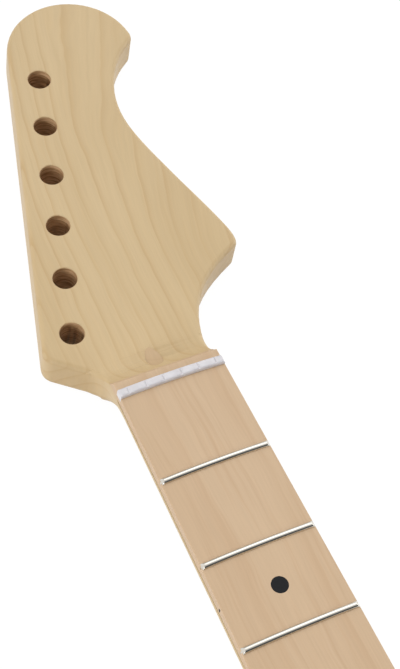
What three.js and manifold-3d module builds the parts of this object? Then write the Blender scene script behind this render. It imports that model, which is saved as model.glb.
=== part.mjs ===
// Bolt-on electric guitar neck: maple blank, maple fingerboard, frets, nut, dots and truss rod.
//
// Millimetres. The neck lies on its back: +Z out of the fingerboard, +Y towards the headstock's tip,
// -X the bass side. The origin is the centre of the heel's screw pattern, on the heel's flat back.
import * as THREE from 'three';
import { mergeVertices } from 'three/addons/utils/BufferGeometryUtils.js';
import Module from 'manifold-3d';

// String length, how far past the nut's front face it starts, so that the first frets play in tune, and
// the width of the neck at the nut and at the board's end
const SCALE_LENGTH = 647.7;
const SCALE_START = 0.6;
const FRET_COUNT = 22;
const NUT_WIDTH = 42;
const BOARD_END_WIDTH = 56;

// Fingerboard
const BOARD_THICKNESS = 5;
const BOARD_RADIUS = 241.3;
const BOARD_TAIL = 8.6;
const BOARD_OVERHANG = 10;
const LEDGE_LENGTH = 3.1;

// Heel, with the screw pattern that holds it to a body
const HEEL_THICKNESS = 25.4;
const HEEL_LENGTH = 76;
const HEEL_BLEND = 32;
const HEEL_CORNER_RADIUS = 1.2;
const SCREW_SPACING_X = 38;
const SCREW_SPACING_Y = 51;
const SCREW_END_DISTANCE = 12.5;
const PILOT_DIAMETER = 3.2;
const PILOT_DEPTH = 15;

// Shaft: thickness over the board at two frets, and how full the round of its back is
const THICKNESS_FRET_1 = 21;
const THICKNESS_FRET_12 = 23;
const SHAFT_FULLNESS = 2.25;

// Headstock, with its lengths counted from the nut's front face
const HEAD_DROP = 9.5;
const HEAD_THICKNESS = 15.8;
const HEAD_JOIN = 13.5;
const HEAD_BLEND = 20;
const HEAD_FACE_ROUND = 2.2;
const HEAD_BACK_ROUND = 2.2;
const HEAD_JOIN_ROUND = 4.5;
const JOIN_ROUND_LENGTH = 4;
const COVE_RADIUS = 14;
const RAMP_ROUND_SHARE = 0.2;
const CROWN_RADIUS = 27.4;
const CROWN_START_ANGLE = THREE.MathUtils.degToRad(4.8);
const CORNER_RADIUS = 6.4;
const BASS_FLARE_START = 10.3;
const BASS_FLARE_RADIUS = 11.4;
const BASS_FLARE_ANGLE = THREE.MathUtils.degToRad(50.8);
const TREBLE_FLARE_START = 11.4;

// Treble edge from the flare to the scroll, as shares of the headstock's reach to the treble side of the
// neck's centre line and of the way from the nut to the crown's centre. Each row ends one curve; the
// first two pairs are its handles.
const TREBLE_EDGE_SHARES = [
  [0.408, 0.189, 0.503, 0.248, 0.899, 0.315],
  [0.939, 0.322, 0.934, 0.349, 0.912, 0.38],
  [0.866, 0.446, 0.81, 0.504, 0.763, 0.561],
  [0.715, 0.622, 0.643, 0.7, 0.639, 0.759],
  [0.629, 0.845, 0.753, 0.935, 0.964, 0.985],
];

// Row of tuner holes, the straight edge beside it and the tip beyond the last of them
const TUNER_COUNT = 6;
const TUNER_PITCH = 24.86;
const TUNER_TILT = THREE.MathUtils.degToRad(16.6);
const TUNER_HOLE_DIAMETER = 9.6;
const TUNER_HOLE_CHAMFER = 0.3;
const TUNER_EDGE_MARGIN = 11.9;
const FIRST_TUNER_X = -23.9;
const FIRST_TUNER_REACH = 36.9;
const TIP_REACH = 37.8;

// Nut
const NUT_THICKNESS = 3.4;
const NUT_SEAT_DEPTH = 3;
const NUT_HEIGHT = 1.7;
const NUT_CORNER_RADIUS = 1.3;
const NUT_EDGE_ROUND = 0.35;
const STRING_COUNT = 6;
const STRING_SPREAD = 35;
const STRING_SLOT_DEPTH = 0.5;
const FIRST_SLOT_WIDTH = 1.2;
const LAST_SLOT_WIDTH = 0.6;

// Fret wire
const FRET_WIDTH = 2.4;
const FRET_HEIGHT = 1.15;
const TANG_WIDTH = 0.55;
const TANG_DEPTH = 1.6;
const FRET_END_INSET = 0.2;
const FRET_END_BEVEL = THREE.MathUtils.degToRad(35);

// Dots
const DOT_FRETS = [3, 5, 7, 9, 12, 15, 17, 19, 21];
const OCTAVE_FRET = 12;
const FACE_DOT_DIAMETER = 6.3;
const FACE_DOT_DEPTH = 1.6;
const OCTAVE_DOT_SPACING = 24;
const SIDE_DOT_DIAMETER = 2;
const SIDE_DOT_DEPTH = 2.5;
const SIDE_DOT_RISE = 1.8;
const OCTAVE_SIDE_DOT_SPACING = 7;
const PAIR_ENDINGS = ['_a', '_b'];

// Truss rod, its channel, anchor and plug, with depths from the top of the board
const ROD_DIAMETER = 4.8;
const ROD_HEEL_DEPTH = 12;
const ROD_HEAD_DEPTH = 12.6;
const ROD_DIP = 2.2;
const CHANNEL_CLEARANCE = 0.5;
const CHANNEL_END_WALL = 6;
const ANCHOR_WIDTH = 10;
const ANCHOR_LENGTH = 8;
const ANCHOR_FOOT = 5;
const ANCHOR_REACH = 1;
const PLUG_DIAMETER = 6;
const PLUG_LENGTH = 10;
const PLUG_TILT = THREE.MathUtils.degToRad(22);
const PLUG_REACH = 15;

// Adjusting nut and washer at the heel
const ADJUSTER_DIAMETER = 10;
const ADJUSTER_LENGTH = 12;
const ADJUSTER_STICKOUT = 1.5;
const ADJUSTER_END_ROUND = 2;
const ADJUSTER_SLOT_WIDTH = 1.6;
const ADJUSTER_SLOT_DEPTH = 3;
const ADJUSTER_THREAD_LENGTH = 7;
const WASHER_THICKNESS = 1.2;

// Clearances: a close fit, a glued round piece, and a piece that turns or is buried
const FIT_GAP = 0.02;
const GLUE_GAP = 0.1;
const SEAT_GAP = 0.3;

// How far a cutter passes the surface that it cuts
const OVERRUN = 5;

// Points of an outline that are nearer than this are one point
const SAME_POINT = 0.001;

// Facets and steps
const BOARD_FACETS = 8;
const PROFILE_STEPS = 5;
const BLEND_STEPS = 12;
const OUTLINE_STEPS = 12;
const ARC_STEPS = 12;
const RAMP_STEPS = 10;
const ROD_STEPS = 12;
const ROUND_STEPS = 4;
const CROWN_STEPS = 4;
const HOLE_SIDES = 48;
const DOT_SIDES = 24;
const SMALL_SIDES = 12;

const MAPLE = { color: 0xd6bd92, roughness: 0.35, metalness: 0 };
const BOARD_MAPLE = { color: 0xd3b494, roughness: 0.45, metalness: 0 };
const PLUG_MAPLE = { color: 0xc9a987, roughness: 0.4, metalness: 0 };
const BONE = { color: 0xe9e8ee, roughness: 0.35, metalness: 0 };
const NICKEL = { color: 0xc9cbc6, roughness: 0.25, metalness: 1 };
const STEEL = { color: 0x9a9ca0, roughness: 0.4, metalness: 1 };
const BLACK = { color: 0x1b1c22, roughness: 0.3, metalness: 0 };

// Places along the neck
const HEEL_END_Y = -SCREW_SPACING_Y / 2 - SCREW_END_DISTANCE;
const HEEL_FRONT_Y = HEEL_END_Y + HEEL_LENGTH;
const BOARD_END_Y = HEEL_END_Y - BOARD_OVERHANG;
const NUT_Y = BOARD_END_Y + BOARD_TAIL + fretDistance(FRET_COUNT) - SCALE_START;
const LEDGE_Y = NUT_Y + NUT_THICKNESS + LEDGE_LENGTH;
const HEAD_JOIN_Y = NUT_Y + HEAD_JOIN;
const BASS_FLARE_Y = NUT_Y + BASS_FLARE_START;
const TIP_Y = tunerCentre(TUNER_COUNT - 1)[1] + TIP_REACH;
const HEAD_LENGTH = TIP_Y - NUT_Y;

// Levels
const TOP_Z = HEEL_THICKNESS;
const GLUE_Z = TOP_Z - BOARD_THICKNESS;
const FACE_Z = TOP_Z - HEAD_DROP;
const BACK_Z = FACE_Z - HEAD_THICKNESS;
const NUT_SEAT_Z = TOP_Z - NUT_SEAT_DEPTH;

// The cove between the board's end and the headstock's face is part of a cylinder across the neck
const COVE_Z = FACE_Z + COVE_RADIUS;
const COVE_Y = LEDGE_Y + Math.sqrt(COVE_RADIUS ** 2 - (COVE_Z - TOP_Z) ** 2);

// Truss rod
const CHANNEL_HALF_WIDTH = ROD_DIAMETER / 2 + CHANNEL_CLEARANCE;
const WASHER_Y = HEEL_END_Y + ADJUSTER_LENGTH - ADJUSTER_STICKOUT + SEAT_GAP;
const COUNTERBORE_Y = WASHER_Y + WASHER_THICKNESS + SEAT_GAP;
const CHANNEL_START_Y = COUNTERBORE_Y + CHANNEL_END_WALL;
const ANCHOR_FRONT_Y = NUT_Y + ANCHOR_REACH;
const ANCHOR_BACK_Y = ANCHOR_FRONT_Y - ANCHOR_LENGTH;
const COUNTERBORE_DIAMETER = ADJUSTER_DIAMETER + 2 * CHANNEL_CLEARANCE;

const wasm = await Module();
wasm.setup();

// Distance from the string's start to a fret, in equal temperament
function fretDistance(fret) {
  return SCALE_LENGTH * (1 - 2 ** (-fret / OCTAVE_FRET));
}

function fretY(fret) {
  return NUT_Y + SCALE_START - fretDistance(fret);
}

// Half the width of the neck, which tapers evenly from the board's end to the nut and on
function halfWidth(y) {
  const share = (NUT_Y - y) / (NUT_Y - BOARD_END_Y);
  return THREE.MathUtils.lerp(NUT_WIDTH, BOARD_END_WIDTH, share) / 2;
}

// The same on the bass side, where the headstock's flare begins before the join
function bassHalfWidth(y) {
  const rise = Math.max(y - BASS_FLARE_Y, 0);
  const flare = BASS_FLARE_RADIUS - Math.sqrt(BASS_FLARE_RADIUS ** 2 - rise ** 2);
  return rise > 0 ? halfWidth(BASS_FLARE_Y) + flare : halfWidth(y);
}

// Height of the board's top, which is part of a cylinder along the neck
function crownZ(x) {
  return TOP_Z - BOARD_RADIUS + Math.sqrt(BOARD_RADIUS ** 2 - x ** 2);
}

// Lines across the board between which its top is flat
const FACET_WIDTH = BOARD_END_WIDTH / BOARD_FACETS;
const FACET_XS = [];
for (let i = -BOARD_FACETS / 2 - 1; i <= BOARD_FACETS / 2 + 1; i += 1) {
  FACET_XS.push(i * FACET_WIDTH);
}

function boardZ(x) {
  const low = Math.floor(x / FACET_WIDTH) * FACET_WIDTH;
  const share = (x - low) / FACET_WIDTH;
  return THREE.MathUtils.lerp(crownZ(low), crownZ(low + FACET_WIDTH), share);
}

// Height of the headstock's face and of the cove that leads to it
function faceZ(y) {
  return y >= COVE_Y ? FACE_Z : COVE_Z - Math.sqrt(COVE_RADIUS ** 2 - (COVE_Y - y) ** 2);
}

function signedVolume(positions, index) {
  const corner = (i) => new THREE.Vector3().fromArray(positions, 3 * index[i]);
  let sum = 0;
  for (let i = 0; i < index.length; i += 3) {
    sum += corner(i).dot(corner(i + 1).cross(corner(i + 2)));
  }
  return sum;
}

// A closed geometry as a solid, with its faces turned outwards
function solid(geometry) {
  const bare = geometry.clone();
  bare.deleteAttribute('normal');
  bare.deleteAttribute('uv');
  const merged = mergeVertices(bare);
  const vertProperties = new Float32Array(merged.attributes.position.array);
  const triVerts = new Uint32Array(merged.index.array);
  if (signedVolume(vertProperties, triVerts) < 0) {
    triVerts.reverse();
  }
  return new wasm.Manifold(new wasm.Mesh({ numProp: 3, vertProperties, triVerts }));
}

function part(name, body, finish) {
  const mesh = body.getMesh();
  const geometry = new THREE.BufferGeometry();
  const positions = new Float32Array(mesh.vertProperties);
  geometry.setAttribute('position', new THREE.BufferAttribute(positions, mesh.numProp));
  geometry.setIndex(new THREE.BufferAttribute(new Uint32Array(mesh.triVerts), 1));
  geometry.computeVertexNormals();
  const piece = new THREE.Mesh(geometry, new THREE.MeshStandardMaterial(finish));
  piece.name = name;
  return piece;
}

// An outline of [u, v] points given a depth, with its edges rounded inside that outline
function extruded(points, depth, round = 0) {
  const shape = new THREE.Shape(points.map(([u, v]) => new THREE.Vector2(u, v)));
  const geometry = new THREE.ExtrudeGeometry(shape, {
    depth: depth - 2 * round,
    bevelEnabled: round > 0,
    bevelThickness: round,
    bevelSize: round,
    bevelOffset: -round,
    bevelSegments: ROUND_STEPS,
  });
  return geometry.translate(0, 0, round);
}

// [x, y] points raised from one level to another
function slab(points, lowZ, highZ, round) {
  return solid(extruded(points, highZ - lowZ, round).translate(0, 0, lowZ));
}

// [x, z] points carried along the neck
function alongNeck(points, lowY, highY, round) {
  return solid(extruded(points, highY - lowY, round).rotateX(Math.PI / 2).translate(0, highY, 0));
}

// [y, z] points carried across the neck
function acrossNeck(points, halfSpan) {
  const y = new THREE.Vector3(0, 1, 0);
  const z = new THREE.Vector3(0, 0, 1);
  const x = new THREE.Vector3(1, 0, 0);
  const turn = new THREE.Matrix4().makeBasis(y, z, x);
  return solid(extruded(points, 2 * halfSpan).applyMatrix4(turn).translate(-halfSpan, 0, 0));
}

function box(lowX, highX, lowY, highY, lowZ, highZ) {
  const geometry = new THREE.BoxGeometry(highX - lowX, highY - lowY, highZ - lowZ);
  return solid(geometry.translate((lowX + highX) / 2, (lowY + highY) / 2, (lowZ + highZ) / 2));
}

// Round bar, or a cone where the diameters differ
function bar(from, to, diameter, sides, endDiameter = diameter) {
  const start = new THREE.Vector3(...from);
  const run = new THREE.Vector3(...to).sub(start);
  const length = run.length();
  const geometry = new THREE.CylinderGeometry(endDiameter / 2, diameter / 2, length, sides);
  const turn = new THREE.Quaternion().setFromUnitVectors(new THREE.Vector3(0, 1, 0), run.normalize());
  geometry.translate(0, length / 2, 0).applyQuaternion(turn);
  return solid(geometry.translate(start.x, start.y, start.z));
}

// Closed body through rings of [x, y, z] points of one count. flat picks a ring's two plane coordinates.
function loft(rings, flat) {
  const count = rings[0].length;
  const last = (rings.length - 1) * count;
  const index = [];
  for (let start = 0; start < last; start += count) {
    for (let i = 0; i < count; i += 1) {
      const a = start + i;
      const b = start + ((i + 1) % count);
      index.push(a, b, a + count, b, b + count, a + count);
    }
  }
  const outline = rings[0].map((point) => new THREE.Vector2(...flat(point)));
  const forward = THREE.ShapeUtils.area(outline) > 0;
  const cap = (ring, start, keep) => {
    const points = ring.map((point) => new THREE.Vector2(...flat(point)));
    for (const [a, b, c] of THREE.ShapeUtils.triangulateShape(points, [])) {
      index.push(start + a, start + (keep ? b : c), start + (keep ? c : b));
    }
  };
  cap(rings[0], 0, !forward);
  cap(rings[rings.length - 1], last, forward);
  const geometry = new THREE.BufferGeometry();
  geometry.setAttribute('position', new THREE.Float32BufferAttribute(rings.flat(2), 3));
  return solid(geometry.setIndex(index));
}

// Half of a section's outline, from its top corner at the side to the middle of its back, for a neck that
// is between round (0) and square (1). The square one goes down its side, round its corner and across.
function halfProfile(width, depth, corner, squareness) {
  const legs = ['side', 'corner', 'back'];
  const count = legs.length * PROFILE_STEPS;
  const points = [];
  for (let i = 0; i <= count; i += 1) {
    const angle = (i / count) * (Math.PI / 2);
    const roundX = width * Math.cos(angle) ** (2 / SHAFT_FULLNESS);
    const roundZ = depth * Math.sin(angle) ** (2 / SHAFT_FULLNESS);
    const [down, turned, across] = legs.map((_, k) => THREE.MathUtils.clamp(i / PROFILE_STEPS - k, 0, 1));
    const turn = turned * (Math.PI / 2);
    const squareX = (width - corner) * (1 - across) + corner * Math.cos(turn);
    const squareZ = (depth - corner) * down + corner * Math.sin(turn);
    const x = THREE.MathUtils.lerp(roundX, squareX, squareness);
    points.push([x, THREE.MathUtils.lerp(roundZ, squareZ, squareness)]);
  }
  return points;
}

// Whole section of the shaft at one place, from the bass side round the back to the treble side
function shaftRing({ y, depth, corner, squareness }) {
  const bass = halfProfile(bassHalfWidth(y), depth, corner, squareness);
  const treble = halfProfile(halfWidth(y), depth, corner, squareness);
  const left = bass.map(([x, z]) => [-x, y, GLUE_Z - z]);
  const right = treble.slice(0, -1).reverse().map(([x, z]) => [x, y, GLUE_Z - z]);
  return [...left, ...right];
}

// Depth of the shaft under the board, in a straight line through its thickness at two frets
function shaftDepth(y) {
  const share = (fretY(1) - y) / (fretY(1) - fretY(OCTAVE_FRET));
  return THREE.MathUtils.lerp(THICKNESS_FRET_1, THICKNESS_FRET_12, share) - BOARD_THICKNESS;
}

// Heel, shaft and the turn into the headstock
function shaft() {
  const stations = [{ y: HEEL_END_Y, depth: GLUE_Z, corner: HEEL_CORNER_RADIUS, squareness: 1 }];
  for (let i = 0; i <= BLEND_STEPS; i += 1) {
    const share = i / BLEND_STEPS;
    const y = HEEL_FRONT_Y + HEEL_BLEND * share;
    const ease = THREE.MathUtils.smoothstep(share, 0, 1);
    const depth = THREE.MathUtils.lerp(GLUE_Z, shaftDepth(y), ease);
    stations.push({ y, depth, corner: HEEL_CORNER_RADIUS, squareness: 1 - ease });
  }
  for (let i = 0; i <= BLEND_STEPS; i += 1) {
    const share = i / BLEND_STEPS;
    const y = HEAD_JOIN_Y - HEAD_BLEND * (1 - share);
    const ease = THREE.MathUtils.smoothstep(share, 0, 1);
    const depth = THREE.MathUtils.lerp(shaftDepth(y), GLUE_Z - BACK_Z, ease);
    stations.push({ y, depth, corner: HEAD_JOIN_ROUND, squareness: share ** 3 });
  }
  return loft(stations.map(shaftRing), ([x, , z]) => [x, z]);
}

function tunerCentre(index) {
  const along = index * TUNER_PITCH;
  const x = FIRST_TUNER_X + along * Math.sin(TUNER_TILT);
  return [x, NUT_Y + FIRST_TUNER_REACH + along * Math.cos(TUNER_TILT)];
}

// Centre of the crown's circle, which the straight tuner edge meets without a kink
function crownCentre() {
  const [x, y] = tunerCentre(0);
  const centreY = TIP_Y - CROWN_RADIUS;
  const inset = CROWN_RADIUS - TUNER_EDGE_MARGIN;
  const along = (centreY - y + inset * Math.sin(TUNER_TILT)) / Math.cos(TUNER_TILT);
  return [x + along * Math.sin(TUNER_TILT) + inset * Math.cos(TUNER_TILT), centreY];
}

// Heading along the neck turned anticlockwise by an angle
function heading(angle) {
  return new THREE.Vector2(-Math.sin(angle), Math.cos(angle));
}

// Where a straight run from one point crosses a straight run from another
function crossing(from, run, other, otherRun) {
  const reach = other.clone().sub(from).cross(otherRun) / run.cross(otherRun);
  return from.clone().addScaledVector(run, reach);
}

// Corner where the tuner edge would meet the straight run of the bass flare
function bassCorner() {
  const edge = heading(-TUNER_TILT);
  const outwards = heading(Math.PI / 2 - TUNER_TILT);
  const onEdge = new THREE.Vector2(...tunerCentre(0)).addScaledVector(outwards, TUNER_EDGE_MARGIN);
  const run = heading(BASS_FLARE_ANGLE);
  const onRun = new THREE.Vector2(
    -halfWidth(BASS_FLARE_Y) - BASS_FLARE_RADIUS * (1 - Math.cos(BASS_FLARE_ANGLE)),
    BASS_FLARE_Y + BASS_FLARE_RADIUS * Math.sin(BASS_FLARE_ANGLE),
  );
  const corner = crossing(onRun, run, onEdge, edge);
  const tangent = CORNER_RADIUS * Math.tan(Math.acos(edge.dot(run)) / 2);
  return {
    corner,
    before: corner.clone().addScaledVector(edge, tangent),
    after: corner.clone().addScaledVector(run, -tangent),
  };
}

// Headstock seen from the front, anticlockwise from the treble side of the neck
function headOutline() {
  const stubY = HEAD_JOIN_Y - HEAD_BLEND;
  const flareY = NUT_Y + TREBLE_FLARE_START;
  const [crownX, crownY] = crownCentre();
  const reach = crownX + CROWN_RADIUS;
  const path = new THREE.Path();
  path.moveTo(halfWidth(stubY), stubY);
  path.lineTo(halfWidth(flareY), flareY);
  const curves = TREBLE_EDGE_SHARES.map((shares) =>
    shares.map((share, i) => (i % 2 === 0 ? share * reach : NUT_Y + share * (crownY - NUT_Y))),
  );
  for (const ends of curves) {
    path.bezierCurveTo(...ends);
  }
  const [, , handleX, handleY, endX, endY] = curves[curves.length - 1];
  const end = new THREE.Vector2(endX, endY);
  const scroll = heading(CROWN_START_ANGLE - Math.PI / 2).multiplyScalar(CROWN_RADIUS);
  scroll.add(new THREE.Vector2(crownX, crownY));
  const run = end.clone().sub(new THREE.Vector2(handleX, handleY));
  const tip = crossing(end, run, scroll, heading(CROWN_START_ANGLE));
  path.quadraticCurveTo(tip.x, tip.y, scroll.x, scroll.y);
  path.absarc(crownX, crownY, CROWN_RADIUS, CROWN_START_ANGLE, Math.PI - TUNER_TILT, false);
  const { corner, before, after } = bassCorner();
  path.lineTo(before.x, before.y);
  path.quadraticCurveTo(corner.x, corner.y, after.x, after.y);
  const flareX = -halfWidth(BASS_FLARE_Y) - BASS_FLARE_RADIUS;
  path.absarc(flareX, BASS_FLARE_Y, BASS_FLARE_RADIUS, BASS_FLARE_ANGLE, 0, true);
  path.lineTo(-halfWidth(stubY), stubY);
  const points = path.getPoints(OUTLINE_STEPS);
  const apart = points.filter((point, i) => i === 0 || point.distanceTo(points[i - 1]) > SAME_POINT);
  return apart.map(({ x, y }) => [x, y]);
}

// Everything above the headstock's face and the cove
function coveCutter() {
  const endAngle = Math.asin((COVE_Z - TOP_Z) / COVE_RADIUS) - Math.PI;
  const points = [];
  for (let i = 0; i <= ARC_STEPS; i += 1) {
    const angle = THREE.MathUtils.lerp(-Math.PI / 2, endAngle, i / ARC_STEPS);
    points.push([COVE_Y + COVE_RADIUS * Math.cos(angle), COVE_Z + COVE_RADIUS * Math.sin(angle)]);
  }
  points.push([LEDGE_Y, TOP_Z + OVERRUN], [TIP_Y + OVERRUN, TOP_Z + OVERRUN], [TIP_Y + OVERRUN, FACE_Z]);
  return acrossNeck(points, HEAD_LENGTH);
}

// Headstock ahead of the join: the plate with rounded edges, and the wood that rises to the board's end
function headstock(outline) {
  const middleZ = (FACE_Z + BACK_Z) / 2;
  const lap = Math.max(HEAD_FACE_ROUND, HEAD_BACK_ROUND);
  const front = slab(outline, middleZ - lap, FACE_Z, HEAD_FACE_ROUND);
  const back = slab(outline, BACK_Z, middleZ + lap, HEAD_BACK_ROUND);
  const ahead = box(-HEAD_LENGTH, HEAD_LENGTH, HEAD_JOIN_Y, TIP_Y + OVERRUN, BACK_Z - OVERRUN, TOP_Z + OVERRUN);
  const rise = slab(outline, middleZ, GLUE_Z);
  const nearNeck = box(-HEAD_LENGTH, HEAD_LENGTH, HEAD_JOIN_Y, COVE_Y, middleZ, GLUE_Z + OVERRUN);
  return front.add(back).intersect(ahead).add(rise.intersect(nearNeck));
}

// Where an outline crosses a line over the neck, on the bass (-1) or treble (1) side
function edgeX(outline, y, side) {
  const crossings = [];
  outline.forEach(([startX, startY], i) => {
    const [endX, endY] = outline[(i + 1) % outline.length];
    if (startY < y !== endY < y) {
      crossings.push(side * THREE.MathUtils.lerp(startX, endX, (y - startY) / (endY - startY)));
    }
  });
  return side * Math.max(...crossings);
}

// Wood outside a rounded edge of the headstock on one side, from one place to another. The round's radius
// and the level of its face change along the edge. The face looks up (1) or down (-1).
function edgeWaste(outline, side, [startY, endY], facing, steps, roundAt, levelAt) {
  const rings = [];
  const lap = Math.max(roundAt(startY), roundAt(endY));
  for (let i = 0; i <= RAMP_STEPS; i += 1) {
    const y = THREE.MathUtils.lerp(startY - lap, endY + lap, i / RAMP_STEPS);
    const x = edgeX(outline, y, side);
    const along = new THREE.Vector2(edgeX(outline, y + FIT_GAP, side) - x, FIT_GAP).normalize();
    const round = roundAt(y);
    const point = (inset, drop) => {
      const pointY = y + side * along.x * inset;
      return [x - side * along.y * inset, pointY, levelAt(pointY) - facing * drop];
    };
    const ring = [];
    for (let k = 0; k <= steps; k += 1) {
      const angle = (k / steps) * (Math.PI / 2);
      ring.push(point(round * (1 - Math.sin(angle)), round * (1 - Math.cos(angle))));
    }
    rings.push([...ring, point(-OVERRUN, round), point(-OVERRUN, -OVERRUN), point(round, -OVERRUN)]);
  }
  const span = box(-HEAD_LENGTH, HEAD_LENGTH, startY, endY, BACK_Z - 2 * OVERRUN, TOP_Z + 2 * OVERRUN);
  return loft(rings, ([x, , z]) => [x, z]).intersect(span);
}

// The edge of the cove's ramp, whose round grows from the ledge to the face
function rampEdge(outline, side) {
  const roundAt = (y) => {
    const growth = THREE.MathUtils.smoothstep(y, LEDGE_Y, COVE_Y);
    return HEAD_FACE_ROUND * THREE.MathUtils.lerp(RAMP_ROUND_SHARE, 1, growth);
  };
  const levelAt = (y) => faceZ(Math.max(y, LEDGE_Y));
  return edgeWaste(outline, side, [LEDGE_Y, COVE_Y], 1, ROUND_STEPS, roundAt, levelAt);
}

// The edge of the headstock's back beside the join, whose round shrinks from the shaft's to the plate's
function joinEdge(outline, side) {
  const endY = HEAD_JOIN_Y + JOIN_ROUND_LENGTH;
  const roundAt = (y) => {
    const share = THREE.MathUtils.smoothstep(y, HEAD_JOIN_Y, endY);
    return THREE.MathUtils.lerp(HEAD_JOIN_ROUND, HEAD_BACK_ROUND, share);
  };
  return edgeWaste(outline, side, [HEAD_JOIN_Y, endY], -1, PROFILE_STEPS, roundAt, () => BACK_Z);
}

function tunerHoles() {
  let holes = null;
  for (let i = 0; i < TUNER_COUNT; i += 1) {
    const [x, y] = tunerCentre(i);
    const hole = bar([x, y, BACK_Z - OVERRUN], [x, y, FACE_Z + OVERRUN], TUNER_HOLE_DIAMETER, HOLE_SIDES);
    const low = [x, y, FACE_Z - TUNER_HOLE_CHAMFER];
    const high = [x, y, FACE_Z + TUNER_HOLE_CHAMFER];
    const rim = TUNER_HOLE_DIAMETER + 2 * (high[2] - low[2]);
    const cut = hole.add(bar(low, high, TUNER_HOLE_DIAMETER, HOLE_SIDES, rim));
    holes = holes ? holes.add(cut) : cut;
  }
  return holes;
}

function pilotHoles() {
  let holes = null;
  for (const sideX of [-1, 1]) {
    for (const sideY of [-1, 1]) {
      const x = (sideX * SCREW_SPACING_X) / 2;
      const y = (sideY * SCREW_SPACING_Y) / 2;
      const hole = bar([x, y, -OVERRUN], [x, y, PILOT_DEPTH], PILOT_DIAMETER, SMALL_SIDES);
      holes = holes ? holes.add(hole) : hole;
    }
  }
  return holes;
}

// Height of the rod's centre line, which dips between its level ends
function rodZ(y) {
  const share = THREE.MathUtils.clamp((y - CHANNEL_START_Y) / (ANCHOR_BACK_Y - CHANNEL_START_Y), 0, 1);
  const line = THREE.MathUtils.lerp(ROD_HEEL_DEPTH, ROD_HEAD_DEPTH, share);
  return TOP_Z - line - (ROD_DIP * (1 - Math.cos(2 * Math.PI * share))) / 2;
}

const ROD_HEEL_Z = TOP_Z - ROD_HEEL_DEPTH;
const ROD_HEAD_Z = TOP_Z - ROD_HEAD_DEPTH;
const ANCHOR_LOW_Z = ROD_HEAD_Z - ANCHOR_FOOT;

function channelPlaces(startY, endY) {
  const places = [];
  for (let i = 0; i <= ROD_STEPS; i += 1) {
    places.push(THREE.MathUtils.lerp(startY, endY, i / ROD_STEPS));
  }
  return places;
}

// Channel under the board, the anchor's pocket, and the hole and counterbore at the heel
function rodSpace() {
  const floor = channelPlaces(CHANNEL_START_Y, ANCHOR_BACK_Y).map((y) => [y, rodZ(y) - CHANNEL_HALF_WIDTH]);
  const top = GLUE_Z + OVERRUN;
  const channel = acrossNeck([...floor, [ANCHOR_BACK_Y, top], [CHANNEL_START_Y, top]], CHANNEL_HALF_WIDTH);
  const pocketHalf = ANCHOR_WIDTH / 2 + SEAT_GAP;
  const pocketBack = ANCHOR_BACK_Y - SEAT_GAP;
  const pocketFront = ANCHOR_FRONT_Y + SEAT_GAP;
  const pocket = box(-pocketHalf, pocketHalf, pocketBack, pocketFront, ANCHOR_LOW_Z - SEAT_GAP, top);
  const past = [0, CHANNEL_START_Y + CHANNEL_CLEARANCE, ROD_HEEL_Z];
  const hole = bar([0, HEEL_END_Y, ROD_HEEL_Z], past, 2 * CHANNEL_HALF_WIDTH, SMALL_SIDES);
  const mouth = [0, HEEL_END_Y - OVERRUN, ROD_HEEL_Z];
  const counterbore = bar(mouth, [0, COUNTERBORE_Y, ROD_HEEL_Z], COUNTERBORE_DIAMETER, DOT_SIDES);
  return channel.add(pocket).add(hole).add(counterbore);
}

// A point on the plug's centre line, at a distance from where it meets the cove
function plugPoint(distance) {
  const y = NUT_Y + PLUG_REACH;
  return [0, y + distance * Math.cos(PLUG_TILT), faceZ(y) + distance * Math.sin(PLUG_TILT)];
}

function plugHole() {
  const reach = (PLUG_REACH - ANCHOR_REACH) / Math.cos(PLUG_TILT);
  return bar(plugPoint(-reach), plugPoint(OVERRUN + PLUG_DIAMETER), PLUG_DIAMETER + 2 * GLUE_GAP, DOT_SIDES);
}

function anchorPlug() {
  return bar(plugPoint(-PLUG_LENGTH), plugPoint(OVERRUN + PLUG_DIAMETER), PLUG_DIAMETER, DOT_SIDES)
    .subtract(coveCutter());
}

function neckBlank() {
  const outline = headOutline();
  return shaft()
    .add(headstock(outline))
    .subtract(coveCutter())
    .subtract(rampEdge(outline, -1))
    .subtract(rampEdge(outline, 1))
    .subtract(joinEdge(outline, -1))
    .subtract(joinEdge(outline, 1))
    .subtract(tunerHoles())
    .subtract(pilotHoles())
    .subtract(rodSpace())
    .subtract(plugHole());
}

// The board before its slots and dots are cut
function boardBlank() {
  const section = FACET_XS.map((x) => [x, crownZ(x)]);
  const edge = FACET_XS[FACET_XS.length - 1];
  section.push([edge, GLUE_Z], [-edge, GLUE_Z]);
  const endY = COVE_Y;
  const plan = [
    [-halfWidth(BOARD_END_Y), BOARD_END_Y],
    [halfWidth(BOARD_END_Y), BOARD_END_Y],
    [halfWidth(endY), endY],
    [-halfWidth(endY), endY],
  ];
  return alongNeck(section, BOARD_END_Y - OVERRUN, endY + OVERRUN)
    .intersect(slab(plan, GLUE_Z - OVERRUN, TOP_Z + OVERRUN))
    .subtract(coveCutter());
}

// [y, z] points carried across the board on its curve
function bentAcross(points, centreY, halfSpan) {
  const inner = FACET_XS.filter((x) => Math.abs(x) < halfSpan);
  const rings = [-halfSpan, ...inner, halfSpan].map((x) => points.map(([y, z]) => [x, centreY + y, boardZ(x) + z]));
  return loft(rings, ([, y, z]) => [y, z]);
}

function fretSlot(fret) {
  const half = TANG_WIDTH / 2 + FIT_GAP;
  const floor = -TANG_DEPTH - SEAT_GAP;
  const section = [[-half, floor], [half, floor], [half, OVERRUN], [-half, OVERRUN]];
  return bentAcross(section, fretY(fret), BOARD_END_WIDTH / 2 + FACET_WIDTH / 2);
}

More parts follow.
